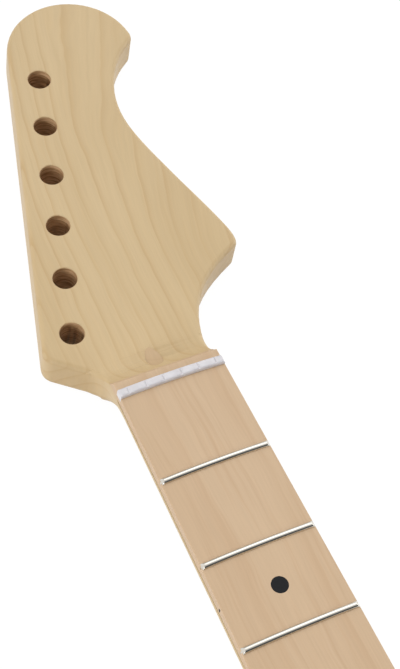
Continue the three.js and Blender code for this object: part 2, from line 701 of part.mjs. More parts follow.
// Fret wire with a round crown, bent to the board, with its ends filed back to a slope
function fretWire(fret) {
  const section = [];
  for (let i = 0; i <= CROWN_STEPS; i += 1) {
    const angle = (i / CROWN_STEPS) * Math.PI;
    section.push([(FRET_WIDTH / 2) * Math.cos(angle), FIT_GAP + FRET_HEIGHT * Math.sin(angle)]);
  }
  const tang = TANG_WIDTH / 2;
  section.push([-tang, FIT_GAP], [-tang, -TANG_DEPTH], [tang, -TANG_DEPTH], [tang, FIT_GAP]);
  const y = fretY(fret);
  const end = halfWidth(y) - FRET_END_INSET;
  const low = boardZ(end);
  const rise = FRET_HEIGHT + OVERRUN;
  const slope = [
    [end, low],
    [end + OVERRUN, low],
    [end + OVERRUN, low + rise],
    [end - rise * Math.tan(FRET_END_BEVEL), low + rise],
  ];
  const trebleEnd = alongNeck(slope, y - FRET_WIDTH, y + FRET_WIDTH);
  const bassEnd = alongNeck(slope.map(([x, z]) => [-x, z]), y - FRET_WIDTH, y + FRET_WIDTH);
  return bentAcross(section, y, end).subtract(trebleEnd).subtract(bassEnd);
}

// Centres of the dots between a fret and the one before it, as shares of the spacing of a pair
function dotShares(fret) {
  return fret === OCTAVE_FRET ? [-1 / 2, 1 / 2] : [0];
}

function dotY(fret) {
  return (fretY(fret) + fretY(fret - 1)) / 2;
}

function faceDot(fret, share, gap) {
  const x = share * OCTAVE_DOT_SPACING;
  const floor = crownZ(Math.abs(x) + FACE_DOT_DIAMETER / 2) - FACE_DOT_DEPTH - gap;
  const diameter = FACE_DOT_DIAMETER + 2 * gap;
  return bar([x, dotY(fret), floor], [x, dotY(fret), TOP_Z + OVERRUN], diameter, DOT_SIDES);
}

function sideDot(fret, share, gap) {
  const y = dotY(fret) + share * OCTAVE_SIDE_DOT_SPACING;
  const x = -halfWidth(y);
  const z = GLUE_Z + SIDE_DOT_RISE;
  const diameter = SIDE_DOT_DIAMETER + 2 * gap;
  return bar([x + SIDE_DOT_DEPTH + gap, y, z], [x - OVERRUN, y, z], diameter, SMALL_SIDES);
}

function nutSeat() {
  const half = BOARD_END_WIDTH;
  const endY = NUT_Y + NUT_THICKNESS;
  return box(-half, half, NUT_Y - FIT_GAP, endY + FIT_GAP, NUT_SEAT_Z - FIT_GAP, TOP_Z + OVERRUN);
}

function fingerboard(blank) {
  let board = blank.subtract(nutSeat());
  for (let fret = 1; fret <= FRET_COUNT; fret += 1) {
    board = board.subtract(fretSlot(fret));
  }
  for (const fret of DOT_FRETS) {
    for (const share of dotShares(fret)) {
      board = board.subtract(faceDot(fret, share, GLUE_GAP)).subtract(sideDot(fret, share, GLUE_GAP));
    }
  }
  return board;
}

function stringSlot(index) {
  const share = index / (STRING_COUNT - 1);
  const x = STRING_SPREAD * (share - 1 / 2);
  const half = THREE.MathUtils.lerp(FIRST_SLOT_WIDTH, LAST_SLOT_WIDTH, share) / 2;
  const floor = crownZ(x) + NUT_HEIGHT - STRING_SLOT_DEPTH;
  const points = [[x + half, floor + half + OVERRUN], [x - half, floor + half + OVERRUN]];
  for (let i = 0; i <= CROWN_STEPS; i += 1) {
    const angle = Math.PI * (1 + i / CROWN_STEPS);
    points.push([x + half * Math.cos(angle), floor + half + half * Math.sin(angle)]);
  }
  return alongNeck(points, NUT_Y - OVERRUN, NUT_Y + NUT_THICKNESS + OVERRUN);
}

function stringNut() {
  const side = halfWidth(NUT_Y + NUT_THICKNESS);
  const turnX = side - NUT_CORNER_RADIUS;
  const turnZ = crownZ(turnX) + NUT_HEIGHT - NUT_CORNER_RADIUS;
  const points = [];
  for (let i = 0; i <= ROUND_STEPS; i += 1) {
    const angle = (i / ROUND_STEPS) * (Math.PI / 2);
    points.push([turnX + NUT_CORNER_RADIUS * Math.cos(angle), turnZ + NUT_CORNER_RADIUS * Math.sin(angle)]);
  }
  for (const x of FACET_XS.filter((place) => Math.abs(place) < turnX).reverse()) {
    points.push([x, crownZ(x) + NUT_HEIGHT]);
  }
  for (let i = 0; i <= ROUND_STEPS; i += 1) {
    const angle = (1 + i / ROUND_STEPS) * (Math.PI / 2);
    points.push([-turnX + NUT_CORNER_RADIUS * Math.cos(angle), turnZ + NUT_CORNER_RADIUS * Math.sin(angle)]);
  }
  points.push([-side, NUT_SEAT_Z], [side, NUT_SEAT_Z]);
  let nut = alongNeck(points, NUT_Y, NUT_Y + NUT_THICKNESS, NUT_EDGE_ROUND);
  for (let i = 0; i < STRING_COUNT; i += 1) {
    nut = nut.subtract(stringSlot(i));
  }
  return nut;
}

function rodRing(y) {
  const ring = [];
  for (let i = 0; i < SMALL_SIDES; i += 1) {
    const angle = (i / SMALL_SIDES) * 2 * Math.PI;
    ring.push([(ROD_DIAMETER / 2) * Math.cos(angle), y, rodZ(y) + (ROD_DIAMETER / 2) * Math.sin(angle)]);
  }
  return ring;
}

function trussRod() {
  const startY = WASHER_Y - ADJUSTER_THREAD_LENGTH;
  const endY = ANCHOR_FRONT_Y + SEAT_GAP;
  const places = [startY, ...channelPlaces(CHANNEL_START_Y, ANCHOR_BACK_Y), endY];
  return loft(places.map(rodRing), ([x, , z]) => [x, z]);
}

function rodClearance(startY, endY, centreZ) {
  return bar([0, startY, centreZ], [0, endY, centreZ], ROD_DIAMETER + 2 * SEAT_GAP, DOT_SIDES);
}

function rodAnchor() {
  const half = ANCHOR_WIDTH / 2;
  const block = box(-half, half, ANCHOR_BACK_Y, ANCHOR_FRONT_Y, ANCHOR_LOW_Z, GLUE_Z - SEAT_GAP);
  return block.subtract(rodClearance(ANCHOR_BACK_Y - OVERRUN, ANCHOR_FRONT_Y + OVERRUN, ROD_HEAD_Z));
}

// Strip that closes the channel over the rod, flush with the face that the board is glued to
function rodFillet() {
  const startY = CHANNEL_START_Y + GLUE_GAP;
  const endY = ANCHOR_BACK_Y - SEAT_GAP - GLUE_GAP;
  const under = channelPlaces(startY, endY).map((y) => [y, rodZ(y) + ROD_DIAMETER / 2 + SEAT_GAP]);
  return acrossNeck([...under, [endY, GLUE_Z], [startY, GLUE_Z]], CHANNEL_HALF_WIDTH - GLUE_GAP);
}

function rodWasher() {
  const endY = WASHER_Y + WASHER_THICKNESS;
  const disc = bar([0, WASHER_Y, ROD_HEEL_Z], [0, endY, ROD_HEEL_Z], ADJUSTER_DIAMETER, DOT_SIDES);
  return disc.subtract(rodClearance(WASHER_Y - OVERRUN, endY + OVERRUN, ROD_HEEL_Z));
}

// Round nut with a blind bore for the rod and a cross slot in its rounded outer end
function adjustingNut() {
  const radius = ADJUSTER_DIAMETER / 2;
  const bore = ROD_DIAMETER / 2 + SEAT_GAP;
  const boreEnd = ADJUSTER_THREAD_LENGTH + SEAT_GAP;
  const profile = [[0, boreEnd], [bore, boreEnd], [bore, 0], [radius, 0]];
  for (let i = 0; i <= ROUND_STEPS; i += 1) {
    const angle = (i / ROUND_STEPS) * (Math.PI / 2);
    const out = radius - ADJUSTER_END_ROUND * (1 - Math.cos(angle));
    profile.push([out, ADJUSTER_LENGTH - ADJUSTER_END_ROUND * (1 - Math.sin(angle))]);
  }
  profile.push([0, ADJUSTER_LENGTH]);
  const turned = new THREE.LatheGeometry(profile.map(([r, h]) => new THREE.Vector2(r, h)), DOT_SIDES);
  const faceY = WASHER_Y - SEAT_GAP;
  const body = solid(turned.rotateX(Math.PI).translate(0, faceY, ROD_HEEL_Z));
  const endY = faceY - ADJUSTER_LENGTH;
  const half = ADJUSTER_SLOT_WIDTH / 2;
  const span = ADJUSTER_DIAMETER;
  const floorY = endY + ADJUSTER_SLOT_DEPTH;
  const level = box(-span, span, endY - OVERRUN, floorY, ROD_HEEL_Z - half, ROD_HEEL_Z + half);
  const upright = box(-half, half, endY - OVERRUN, floorY, ROD_HEEL_Z - span, ROD_HEEL_Z + span);
  return body.subtract(level).subtract(upright);
}

function numbered(stem, number) {
  return `${stem}_${String(number).padStart(2, '0')}`;
}

function addDots(group, blank) {
  for (const fret of DOT_FRETS) {
    const shares = dotShares(fret);
    shares.forEach((share, i) => {
      const ending = shares.length > 1 ? PAIR_ENDINGS[i] : '';
      group.add(part(numbered('face_dot', fret) + ending, faceDot(fret, share, 0).intersect(blank), BLACK));
      group.add(part(numbered('side_dot', fret) + ending, sideDot(fret, share, 0).intersect(blank), BLACK));
    });
  }
}

const neck = new THREE.Group();
const blank = boardBlank();
neck.add(part('neck_blank', neckBlank(), MAPLE));
neck.add(part('fingerboard', fingerboard(blank), BOARD_MAPLE));
neck.add(part('string_nut', stringNut(), BONE));
for (let fret = 1; fret <= FRET_COUNT; fret += 1) {
  neck.add(part(numbered('fret', fret), fretWire(fret), NICKEL));
}
addDots(neck, blank);
neck.add(part('anchor_plug', anchorPlug(), PLUG_MAPLE));
neck.add(part('truss_rod', trussRod(), STEEL));
neck.add(part('truss_rod_anchor', rodAnchor(), STEEL));
neck.add(part('truss_rod_fillet', rodFillet(), MAPLE));
neck.add(part('truss_rod_washer', rodWasher(), STEEL));
neck.add(part('adjusting_nut', adjustingNut(), STEEL));

export default neck;
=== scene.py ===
# A bolt-on maple guitar neck on a white studio floor.
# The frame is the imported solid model. This script gives it finer pieces and real finishes.
import math

import bmesh
import bpy
from mathutils import Euler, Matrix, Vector


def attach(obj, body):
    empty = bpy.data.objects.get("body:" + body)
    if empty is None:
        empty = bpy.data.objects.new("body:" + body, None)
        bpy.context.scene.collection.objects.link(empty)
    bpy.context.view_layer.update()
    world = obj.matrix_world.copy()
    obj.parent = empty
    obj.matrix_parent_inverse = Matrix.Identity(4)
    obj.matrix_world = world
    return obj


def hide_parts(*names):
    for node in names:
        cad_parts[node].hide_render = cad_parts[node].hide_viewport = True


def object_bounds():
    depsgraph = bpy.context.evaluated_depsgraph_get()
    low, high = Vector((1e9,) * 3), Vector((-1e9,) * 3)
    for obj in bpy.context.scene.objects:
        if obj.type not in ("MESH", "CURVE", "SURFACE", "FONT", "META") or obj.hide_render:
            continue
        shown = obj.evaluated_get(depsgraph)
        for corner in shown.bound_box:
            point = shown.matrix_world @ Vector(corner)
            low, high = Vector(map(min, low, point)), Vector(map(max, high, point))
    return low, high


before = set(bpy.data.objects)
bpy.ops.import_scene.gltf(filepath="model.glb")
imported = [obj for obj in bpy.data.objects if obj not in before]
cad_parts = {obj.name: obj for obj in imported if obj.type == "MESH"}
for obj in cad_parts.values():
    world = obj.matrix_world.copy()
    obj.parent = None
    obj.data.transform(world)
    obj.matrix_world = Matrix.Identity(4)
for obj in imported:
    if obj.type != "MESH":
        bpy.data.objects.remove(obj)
cad_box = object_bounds()

MM = 0.001

# Sizes in millimetres. Places are counted from the centre of the heel's screws, on the heel's flat back.
SCALE_LENGTH = 647.7
SCALE_START = 0.6
FRET_COUNT = 22
NUT_WIDTH = 42.0
END_WIDTH = 56.0
HEEL_END_Y = -38.0
BOARD_OVERHANG = 10.0
BOARD_END_Y = HEEL_END_Y - BOARD_OVERHANG
NUT_Y = 425.945
TOP_Z = 25.4

# Fingerboard, with its crowned top, the ledge behind the nut and the sawn slots for the frets
BOARD_THICKNESS = 5.0
GLUE_Z = TOP_Z - BOARD_THICKNESS
BOARD_RADIUS = 241.3
AXIS_Z = TOP_Z - BOARD_RADIUS
BOARD_EDGE_ROUND = 0.9
LEDGE_LENGTH = 3.1
FRONT_WASTE = 3.1
SLOT_WIDTH = 0.6
SLOT_EXTRA_DEPTH = 0.05

# Nut, with the waste that is sawn off its foot and ends, and how far its top lies inside the solid nut's
NUT_THICKNESS = 3.4
NUT_HEIGHT = 1.7
NUT_SEAT = 3.0
NUT_EDGE_ROUND = 0.9
NUT_END_ROUND = 1.3
NUT_FOOT_WASTE = 1.5
NUT_END_WASTE = 2.0
NUT_TOP_INSIDE = 0.01
CORNER_WASTE_WIDTH = 3.0
CORNER_WASTE_REACH = 5.0
STRING_COUNT = 6
STRING_SPREAD = 35.0
STRING_SLOT_DEPTH = 0.3
FIRST_SLOT_RADIUS = 0.62
SLOT_RADIUS_STEP = 0.06

# Headstock: its face, the cove that drops to it from the ledge, and the row of tuner holes
HEAD_DROP = 9.5
FACE_Z = TOP_Z - HEAD_DROP
LEDGE_Y = NUT_Y + NUT_THICKNESS + LEDGE_LENGTH
COVE_RADIUS = 14.0
COVE_Z = FACE_Z + COVE_RADIUS
COVE_Y = LEDGE_Y + math.sqrt(COVE_RADIUS**2 - (COVE_Z - TOP_Z) ** 2)
TUNER_COUNT = 6
TUNER_RADIUS = 4.8
TUNER_PITCH = 24.86
TUNER_TILT = math.radians(16.6)
FIRST_TUNER_X = -23.9
FIRST_TUNER_REACH = 36.9
TUNERS = [(FIRST_TUNER_X + i * TUNER_PITCH * math.sin(TUNER_TILT),
           NUT_Y + FIRST_TUNER_REACH + i * TUNER_PITCH * math.cos(TUNER_TILT)) for i in range(TUNER_COUNT)]

# Fret wire. Its crown is let into the board a little, and its tang ends nearer the board's edge.
FRET_WIDTH = 2.4
FRET_HEIGHT = 1.15
FRET_SINK = 0.02
FRET_INSET = 0.2
FRET_SLOPE = math.radians(35)
FRET_EASE = 0.14
TANG_WIDTH = 0.55
TANG_DEPTH = 1.6
TANG_ROOT = 0.2
TANG_INSET = 0.06

# Position dots
DOT_FRETS = (3, 5, 7, 9, 12, 15, 17, 19, 21)
OCTAVE_FRET = 12
FACE_DOT_RADIUS = 3.15
FACE_DOT_DEPTH = 1.5
FACE_DOT_PROUD = 0.02
OCTAVE_SPACING = 24.0
SIDE_DOT_RADIUS = 1.0
SIDE_DOT_LENGTH = 2.41
SIDE_DOT_RISE = 1.8
OCTAVE_SIDE_SPACING = 7.0
DOT_EASE = 0.04

# Plug over the rod's anchor, cut from a tilted dowel that reaches below and above the wood's surface
PLUG_RADIUS = 3.0
PLUG_REACH = 15.0
PLUG_TILT = math.radians(22)
PLUG_BELOW = 9.0
PLUG_ABOVE = 10.0
PLUG_PROUD = 0.01

# Adjusting nut at the heel
ROD_Z = 13.4
ADJUSTER_RADIUS = 5.0
ADJUSTER_LENGTH = 12.0
ADJUSTER_STICKOUT = 1.5
ADJUSTER_DOME = 1.8
ADJUSTER_SLOT_WIDTH = 1.6
ADJUSTER_SLOT_DEPTH = 3.0
ADJUSTER_EASE = 0.15

# Bench work: the gap round a seated piece, how far a cutter passes the piece that it cuts, half the
# length of a cutter or stock that goes right across the neck, and a height above everything on the board
FIT_GAP = 0.02
OVERRUN = 1.0
HALF_SPAN = 30.0
CLEAR_Z = 30.0
# An edge or face this near to a place lies on it, and points nearer than SAME_POINT are one point. A
# direction with more than ALONG of an axis runs along it, and one with less than ACROSS runs across it.
NEAR = 0.1
SAME_POINT = 0.002
ALONG = 0.9
ACROSS = 0.1


def fret_y(fret):
    """Where a fret lies: twelve equal steps halve the string, which starts just past the nut's front."""
    return NUT_Y + SCALE_START - SCALE_LENGTH * (1 - 2 ** (-fret / 12))


def half_width(y):
    """Half the width of the tapered board."""
    share = (NUT_Y - y) / (NUT_Y - BOARD_END_Y)
    return (NUT_WIDTH + (END_WIDTH - NUT_WIDTH) * share) / 2


def crown(x):
    """Height of the board's rounded top."""
    return AXIS_Z + math.sqrt(BOARD_RADIUS**2 - x**2)


# Camera, as the photograph was taken, its place in metres
camera_data = bpy.data.cameras.new("camera")
camera_data.lens = 85.1
camera_data.sensor_width = 36.0
camera_data.clip_start = 0.01
camera = bpy.data.objects.new("camera", camera_data)
camera.location = (-0.17256, 0.18357, 0.51708)
camera.rotation_euler = Euler((math.radians(32.292), math.radians(-7.172), math.radians(-25.327)))
bpy.context.scene.collection.objects.link(camera)
bpy.context.scene.camera = camera


# Bench work: small steps that every piece uses
def held(obj):
    """Takes one object alone in hand."""
    if bpy.context.mode != "OBJECT":
        bpy.ops.object.mode_set(mode="OBJECT")
    bpy.ops.object.select_all(action="DESELECT")
    obj.select_set(True)
    bpy.context.view_layer.objects.active = obj
    return obj


def settled(name, place=(0, 0, 0), turn=0.0):
    """Names the piece in hand, turns it about Y, moves it in millimetres and keeps that in its mesh."""
    obj = held(bpy.context.active_object)
    obj.name = obj.data.name = name
    bpy.ops.object.transform_apply(location=True, rotation=True, scale=True)
    obj.rotation_euler = (0, turn, 0)
    obj.location = Vector(place) * MM
    bpy.ops.object.transform_apply(location=True, rotation=True, scale=True)
    return obj


def block(name, low, high):
    """A squared blank between two corners, in millimetres."""
    bpy.ops.object.select_all(action="DESELECT")
    middle = [(a + b) / 2 * MM for a, b in zip(low, high)]
    size = [(b - a) * MM for a, b in zip(low, high)]
    bpy.ops.mesh.primitive_cube_add(size=1, location=middle, scale=size)
    return settled(name)


def dowel(name, start, end, radius, sides=48):
    """A round bar between two points, in millimetres."""
    bpy.ops.object.select_all(action="DESELECT")
    a, b = Vector(start) * MM, Vector(end) * MM
    run = b - a
    bpy.ops.mesh.primitive_cylinder_add(vertices=sides, radius=radius * MM, depth=run.length,
                                        location=(a + b) / 2, rotation=run.to_track_quat("Z", "Y").to_euler())
    return settled(name)


def duplicate(obj, name, place=(0, 0, 0), turn=0.0):
    """Another of the same piece, with its own mesh, moved to its place."""
    made = obj.copy()
    made.data = obj.data.copy()
    bpy.context.scene.collection.objects.link(made)
    held(made)
    return settled(name, place, turn)


def modified(obj, kind, **settings):
    """Adds one modifier and applies it."""
    held(obj)
    modifier = obj.modifiers.new(kind.lower(), kind)
    for key, value in settings.items():
        setattr(modifier, key, value)
    bpy.ops.object.modifier_apply(modifier=modifier.name)


def cut(obj, tool, operation="DIFFERENCE"):
    """Cuts, keeps or joins with a tool, which is then thrown away."""
    modified(obj, "BOOLEAN", object=tool, operation=operation, solver="EXACT")
    bpy.data.objects.remove(tool)
    return obj


def gathered(objs):
    """One object from several that don't touch."""
    held(objs[0])
    for obj in objs[1:]:
        obj.select_set(True)
    bpy.ops.object.join()
    return bpy.context.active_object


def edges_picked(obj, degrees, where):
    """Opens the piece for editing with its sharp edges selected where where(middle, along) says so."""
    held(obj)
    bpy.ops.object.mode_set(mode="EDIT")
    bpy.ops.mesh.select_mode(type="EDGE")
    bpy.ops.mesh.select_all(action="DESELECT")
    mesh = bmesh.from_edit_mesh(obj.data)
    for edge in mesh.edges:
        a, b = (vertex.co / MM for vertex in edge.verts)
        sharp = len(edge.link_faces) == 2 and edge.calc_face_angle(0) > math.radians(degrees)
        edge.select_set(sharp and where((a + b) / 2, (b - a).normalized()))
    bmesh.update_edit_mesh(obj.data)


def rounded(obj, width, segments=3, degrees=30.0, where=lambda middle, along: True):
    """Rounds the sharp edges that where() picks, in millimetres."""
    edges_picked(obj, degrees, where)
    bpy.ops.mesh.bevel(offset=width * MM, segments=segments, clamp_overlap=True)
    bpy.ops.object.mode_set(mode="OBJECT")
    return obj


def sawn(obj, point, normal):
    """Saws through along a plane and keeps the side behind it, its cut face closed."""
    held(obj)
    bpy.ops.object.mode_set(mode="EDIT")
    bpy.ops.mesh.select_all(action="SELECT")
    bpy.ops.mesh.bisect(plane_co=Vector(point) * MM, plane_no=normal, use_fill=True, clear_outer=True)
    bpy.ops.object.mode_set(mode="OBJECT")


def trued(obj, flat=0.02):
    """Merges doubles, makes flat areas single faces and turns all faces outwards."""
    held(obj)
    bpy.ops.object.mode_set(mode="EDIT")
    bpy.ops.mesh.select_all(action="SELECT")
    bpy.ops.mesh.remove_doubles(threshold=SAME_POINT * MM)
    bpy.ops.mesh.dissolve_limited(angle_limit=math.radians(flat))
    bpy.ops.mesh.normals_make_consistent(inside=False)
    bpy.ops.object.mode_set(mode="OBJECT")
    return obj


def sanded(obj, degrees=35.0):
    """Smooth shading, with each flat face kept flat to its edge."""
    held(obj)
    bpy.ops.object.shade_smooth_by_angle(angle=math.radians(degrees))
    modified(obj, "WEIGHTED_NORMAL", keep_sharp=True, weight=100)


def section(low, high, width):
    """A flat upright rectangle across the board's axis, its heights counted from that axis."""
    bpy.ops.object.select_all(action="DESELECT")
    middle = (low + high) / 2 * MM
    bpy.ops.mesh.primitive_plane_add(size=1, location=(0, 0, middle), rotation=(0, math.pi / 2, 0))
    bpy.context.active_object.scale = ((high - low) * MM, width * MM, 1)


def bent_over_board(name, reach, steps):
    """Sweeps the flat section in hand over the board's crown, to the same reach on both sides."""
    spread = 2 * math.asin(reach / BOARD_RADIUS)
    profile = settled(name, turn=-spread / 2)
    bpy.ops.object.mode_set(mode="EDIT")
    bpy.ops.mesh.select_all(action="SELECT")
    bpy.ops.mesh.spin(steps=steps, angle=-spread, axis=(0, 1, 0), center=(0, 0, 0))
    bpy.ops.object.mode_set(mode="OBJECT")
    trued(profile, flat=0.001)
    return settled(name, (0, 0, AXIS_Z))


# Finishes

# How the tree grew, in millimetres. From a place past the nut its rings lean to the treble side, faster
# and faster. Past a line beside the centre they fan out with the lean, and everywhere they wander.
LEAN_START = 45.0
FAN_START = 7.0
FAN_RATE = 90.0
RING_WANDER = 6.5
# The share of its own brown that a wall of pure end grain takes on
END_GRAIN_SHARE = 0.15


def linear(code):
    """An sRGB hex colour as linear red, green, blue and alpha."""
    parts = [int(code[i:i + 2], 16) / 255 for i in (0, 2, 4)]
    return tuple(p / 12.92 if p <= 0.04045 else ((p + 0.055) / 1.055) ** 2.4 for p in parts) + (1.0,)


def node(tree, kind, inputs, out=0, stops=(), **settings):
    """Adds a node with its settings, its inputs linked or set by name or place, and gives one output."""
    made = tree.nodes.new("ShaderNode" + kind)
    for key, value in settings.items():
        setattr(made, key, value)
    for count, (place, colour) in enumerate(stops):
        elements = made.color_ramp.elements
        element = elements[count] if count < len(elements) else elements.new(place)
        element.position = place
        element.color = colour if isinstance(colour, tuple) else (colour, colour, colour, 1)
    for socket, value in inputs.items():
        if isinstance(value, bpy.types.NodeSocket):
            tree.links.new(value, made.inputs[socket])
        else:
            made.inputs[socket].default_value = value
    return made.outputs[out] if len(made.outputs) else None


def finish(name, **settings):
    """A new material with its shader's plain values set."""
    material = bpy.data.materials.new(name)
    material.use_nodes = True
    shader = material.node_tree.nodes["Principled BSDF"]
    for socket, value in settings.items():
        shader.inputs[socket.replace("_", " ")].default_value = value
    return material, material.node_tree, shader.inputs


def lacquered_maple(name, pale, tan, late, pith, ring, start, ring_share, streak_share, roughness):
    """Flat-sawn hard maple, sanded and sprayed with satin lacquer. Each year's ring ends in a thin
    browner line, sharp on its outer side, that runs along the neck and fans towards the treble side
    of the headstock. Faint streaks and fibres lie along the grain, and walls that cut across it are
    browner. The lacquer gives a soft sheen that turns white at a glancing view."""
    material, tree, shader = finish(name, Roughness=roughness, IOR=1.5, Specular_IOR_Level=0.3)
    place = node(tree, "TexCoord", {}, "Object")
    x = node(tree, "SeparateXYZ", {0: place}, "X")
    y = node(tree, "SeparateXYZ", {0: place}, "Y")
    z = node(tree, "SeparateXYZ", {0: place}, "Z")
    # the trunk leaned: past the nut the rings drift to the treble side, and fan there
    past = node(tree, "Math", {0: y, 1: (NUT_Y + LEAN_START) * MM}, operation="SUBTRACT")
    past = node(tree, "Math", {0: past, 1: 0.0}, operation="MAXIMUM")
    bend = node(tree, "Math", {0: past, 1: past}, operation="MULTIPLY")
    across = node(tree, "Math", {0: x, 1: bend}, operation="SUBTRACT")
    plain = node(tree, "Math", {0: across, 1: FAN_START * MM}, operation="MINIMUM")
    fanned = node(tree, "Math", {0: across, 1: FAN_START * MM}, operation="SUBTRACT")
    fanned = node(tree, "Math", {0: fanned, 1: 0.0}, operation="MAXIMUM")
    fan = node(tree, "Math", {0: bend, 1: FAN_RATE, 2: 1.0}, operation="MULTIPLY_ADD")
    fanned = node(tree, "Math", {0: fanned, 1: fan}, operation="DIVIDE")
    across = node(tree, "Math", {0: plain, 1: fanned}, operation="ADD")
    # a wander of one to two millimetres, over 10 to 70 mm of length
    slow = node(tree, "Mapping", {"Vector": place, "Scale": (24, 15, 24)})
    wander = node(tree, "TexNoise", {"Vector": slow, "Scale": 1.0, "Detail": 3.0, "Roughness": 0.6})
    across = node(tree, "Math", {0: wander, 1: RING_WANDER * MM, 2: across}, operation="MULTIPLY_ADD")
    grain = node(tree, "CombineXYZ", {0: across, 1: y, 2: z})
    across = node(tree, "Math", {0: across, 1: (pith[0] + RING_WANDER / 2) * MM}, operation="SUBTRACT")
    depth = node(tree, "Math", {0: z, 1: pith[1] * MM}, operation="SUBTRACT")
    spot = node(tree, "CombineXYZ", {0: across, 1: depth})
    reach = node(tree, "VectorMath", {0: spot}, "Value", operation="LENGTH")
    years = node(tree, "Math", {0: reach, 1: 1 / (ring * MM), 2: start}, operation="MULTIPLY_ADD")
    season = node(tree, "Math", {0: years}, operation="FRACT")
    lines = node(tree, "ValToRGB", {0: season}, stops=(
        (0.0, 0.5), (0.03, 0.1), (0.08, 0.0), (0.6, 0.0), (0.82, 0.3), (0.93, 0.8), (0.97, 1.0)))
    # a line comes and goes along its length
    patches = node(tree, "Mapping", {"Vector": grain, "Scale": (90, 16, 90)})
    patches = node(tree, "TexNoise", {"Vector": patches, "Scale": 1.0, "Detail": 2.0})
    patches = node(tree, "ValToRGB", {0: patches}, stops=((0.33, 0.45), (0.6, 1.0)))
    lines = node(tree, "Math", {0: lines, 1: patches}, operation="MULTIPLY")
    lines = node(tree, "Math", {0: lines, 1: ring_share}, operation="MULTIPLY")
    # broad paler and browner areas, 30 mm wide and 150 mm long
    broad = node(tree, "Mapping", {"Vector": grain, "Scale": (33, 6.5, 33)})
    broad = node(tree, "TexNoise", {"Vector": broad, "Scale": 1.0, "Detail": 3.0, "Roughness": 0.6})
    wood = node(tree, "ValToRGB", {0: broad}, stops=((0.3, linear(pale)), (0.7, linear(tan))))
    # streaks about 2 mm wide and 70 mm long
    streaks = node(tree, "Mapping", {"Vector": grain, "Scale": (420, 15, 60)})
    streaks = node(tree, "TexNoise", {"Vector": streaks, "Scale": 1.0, "Detail": 3.0, "Roughness": 0.6})
    streaks = node(tree, "ValToRGB", {0: streaks}, stops=((0.48, 0.0), (0.68, 1.0)))
    streaks = node(tree, "Math", {0: streaks, 1: streak_share}, operation="MULTIPLY")
    stain = node(tree, "Math", {0: lines, 1: streaks}, operation="MAXIMUM")
    wood = node(tree, "Mix", {0: stain, 6: wood, 7: linear(late)}, 2, data_type="RGBA")
    # fibres, drawn 0.6 mm wide and 18 mm long so that they show
    fine = node(tree, "Mapping", {"Vector": grain, "Scale": (1600, 55, 100)})
    fibres = node(tree, "TexNoise", {"Vector": fine, "Scale": 1.0, "Detail": 2.0})
    shade = node(tree, "ValToRGB", {0: fibres}, stops=((0.3, 0.95), (0.7, 1.0)))
    wood = node(tree, "Mix", {0: 1.0, 6: wood, 7: shade}, 2, data_type="RGBA", blend_type="MULTIPLY")
    # end grain drinks the lacquer: walls that face along the neck are browner
    facing = node(tree, "TexCoord", {}, "Normal")
    facing = node(tree, "SeparateXYZ", {0: facing}, "Y")
    facing = node(tree, "Math", {0: facing, 1: facing}, operation="MULTIPLY")
    facing = node(tree, "Math", {0: facing, 1: END_GRAIN_SHARE}, operation="MULTIPLY")
    wood = node(tree, "Mix", {0: facing, 6: wood, 7: linear("A07B4D")}, 2, data_type="RGBA")
    tree.links.new(wood, shader["Base Color"])
    sheen = node(tree, "ValToRGB", {0: fibres}, stops=((0.3, roughness - 0.04), (0.7, roughness + 0.05)))
    tree.links.new(sheen, shader["Roughness"])
    bump = node(tree, "Bump", {"Height": fibres, "Strength": 0.05, "Distance": 0.0001})
    tree.links.new(bump, shader["Normal"])
    return material


def drilled_maple():
    """Bare maple inside a drilled hole, dull, with its fine rings. Its browner colour is painted shade for
    the inside of the deep hole.
    """
    material, tree, shader = finish("bare_maple_painted_shade", Roughness=0.85, IOR=1.45)
    place = node(tree, "TexCoord", {}, "Object")
    # drill marks, drawn 0.8 mm apart so that they show
    marks = node(tree, "Mapping", {"Vector": place, "Scale": (150, 150, 1250)})
    marks = node(tree, "TexNoise", {"Vector": marks, "Scale": 1.0, "Detail": 2.0})
    # colours mostly darker than the lacquered neck's: painted shade for the deep hole, laid over the drill
    # marks
    wood = node(tree, "ValToRGB", {0: marks}, stops=((0.35, linear("9F7950")), (0.65, linear("D8B58C"))))
    tree.links.new(wood, shader["Base Color"])
    return material


def nickel_silver():
    """Fret wire, drawn nickel silver polished by hand: a warm pale metal with fine lines across the
    board, where the polishing went along each fret."""
    material, tree, shader = finish("polished_nickel_silver", Metallic=1.0, Roughness=0.12)
    place = node(tree, "TexCoord", {}, "Object")
    # polishing lines, drawn 0.2 mm apart so that they show
    lines = node(tree, "Mapping", {"Vector": place, "Scale": (120, 5000, 5000)})
    lines = node(tree, "TexNoise", {"Vector": lines, "Scale": 1.0, "Detail": 2.0})
    metal = node(tree, "ValToRGB", {0: lines}, stops=((0.3, linear("CFCAC0")), (0.7, linear("DEDAD1"))))
    tree.links.new(metal, shader["Base Color"])
    gloss = node(tree, "ValToRGB", {0: lines}, stops=((0.3, 0.09), (0.7, 0.16)))
    tree.links.new(gloss, shader["Roughness"])
    return material


def nut_white():
    """Moulded white plastic, buffed: a cool lavender white with an uneven soft gloss."""
    material, tree, shader = finish("buffed_white_plastic", Roughness=0.3, IOR=1.5, Subsurface_Weight=0.15,
                                    Subsurface_Radius=(0.0012, 0.001, 0.001))
    place = node(tree, "TexCoord", {}, "Object")
    # buffing clouds about 4 mm wide
    cloud = node(tree, "TexNoise", {"Vector": place, "Scale": 260.0, "Detail": 2.0})
    white = node(tree, "ValToRGB", {0: cloud}, stops=((0.3, linear("D0CDD0")), (0.7, linear("DCD9DC"))))
    tree.links.new(white, shader["Base Color"])
    gloss = node(tree, "ValToRGB", {0: cloud}, stops=((0.3, 0.26), (0.7, 0.38)))
    tree.links.new(gloss, shader["Roughness"])
    return material


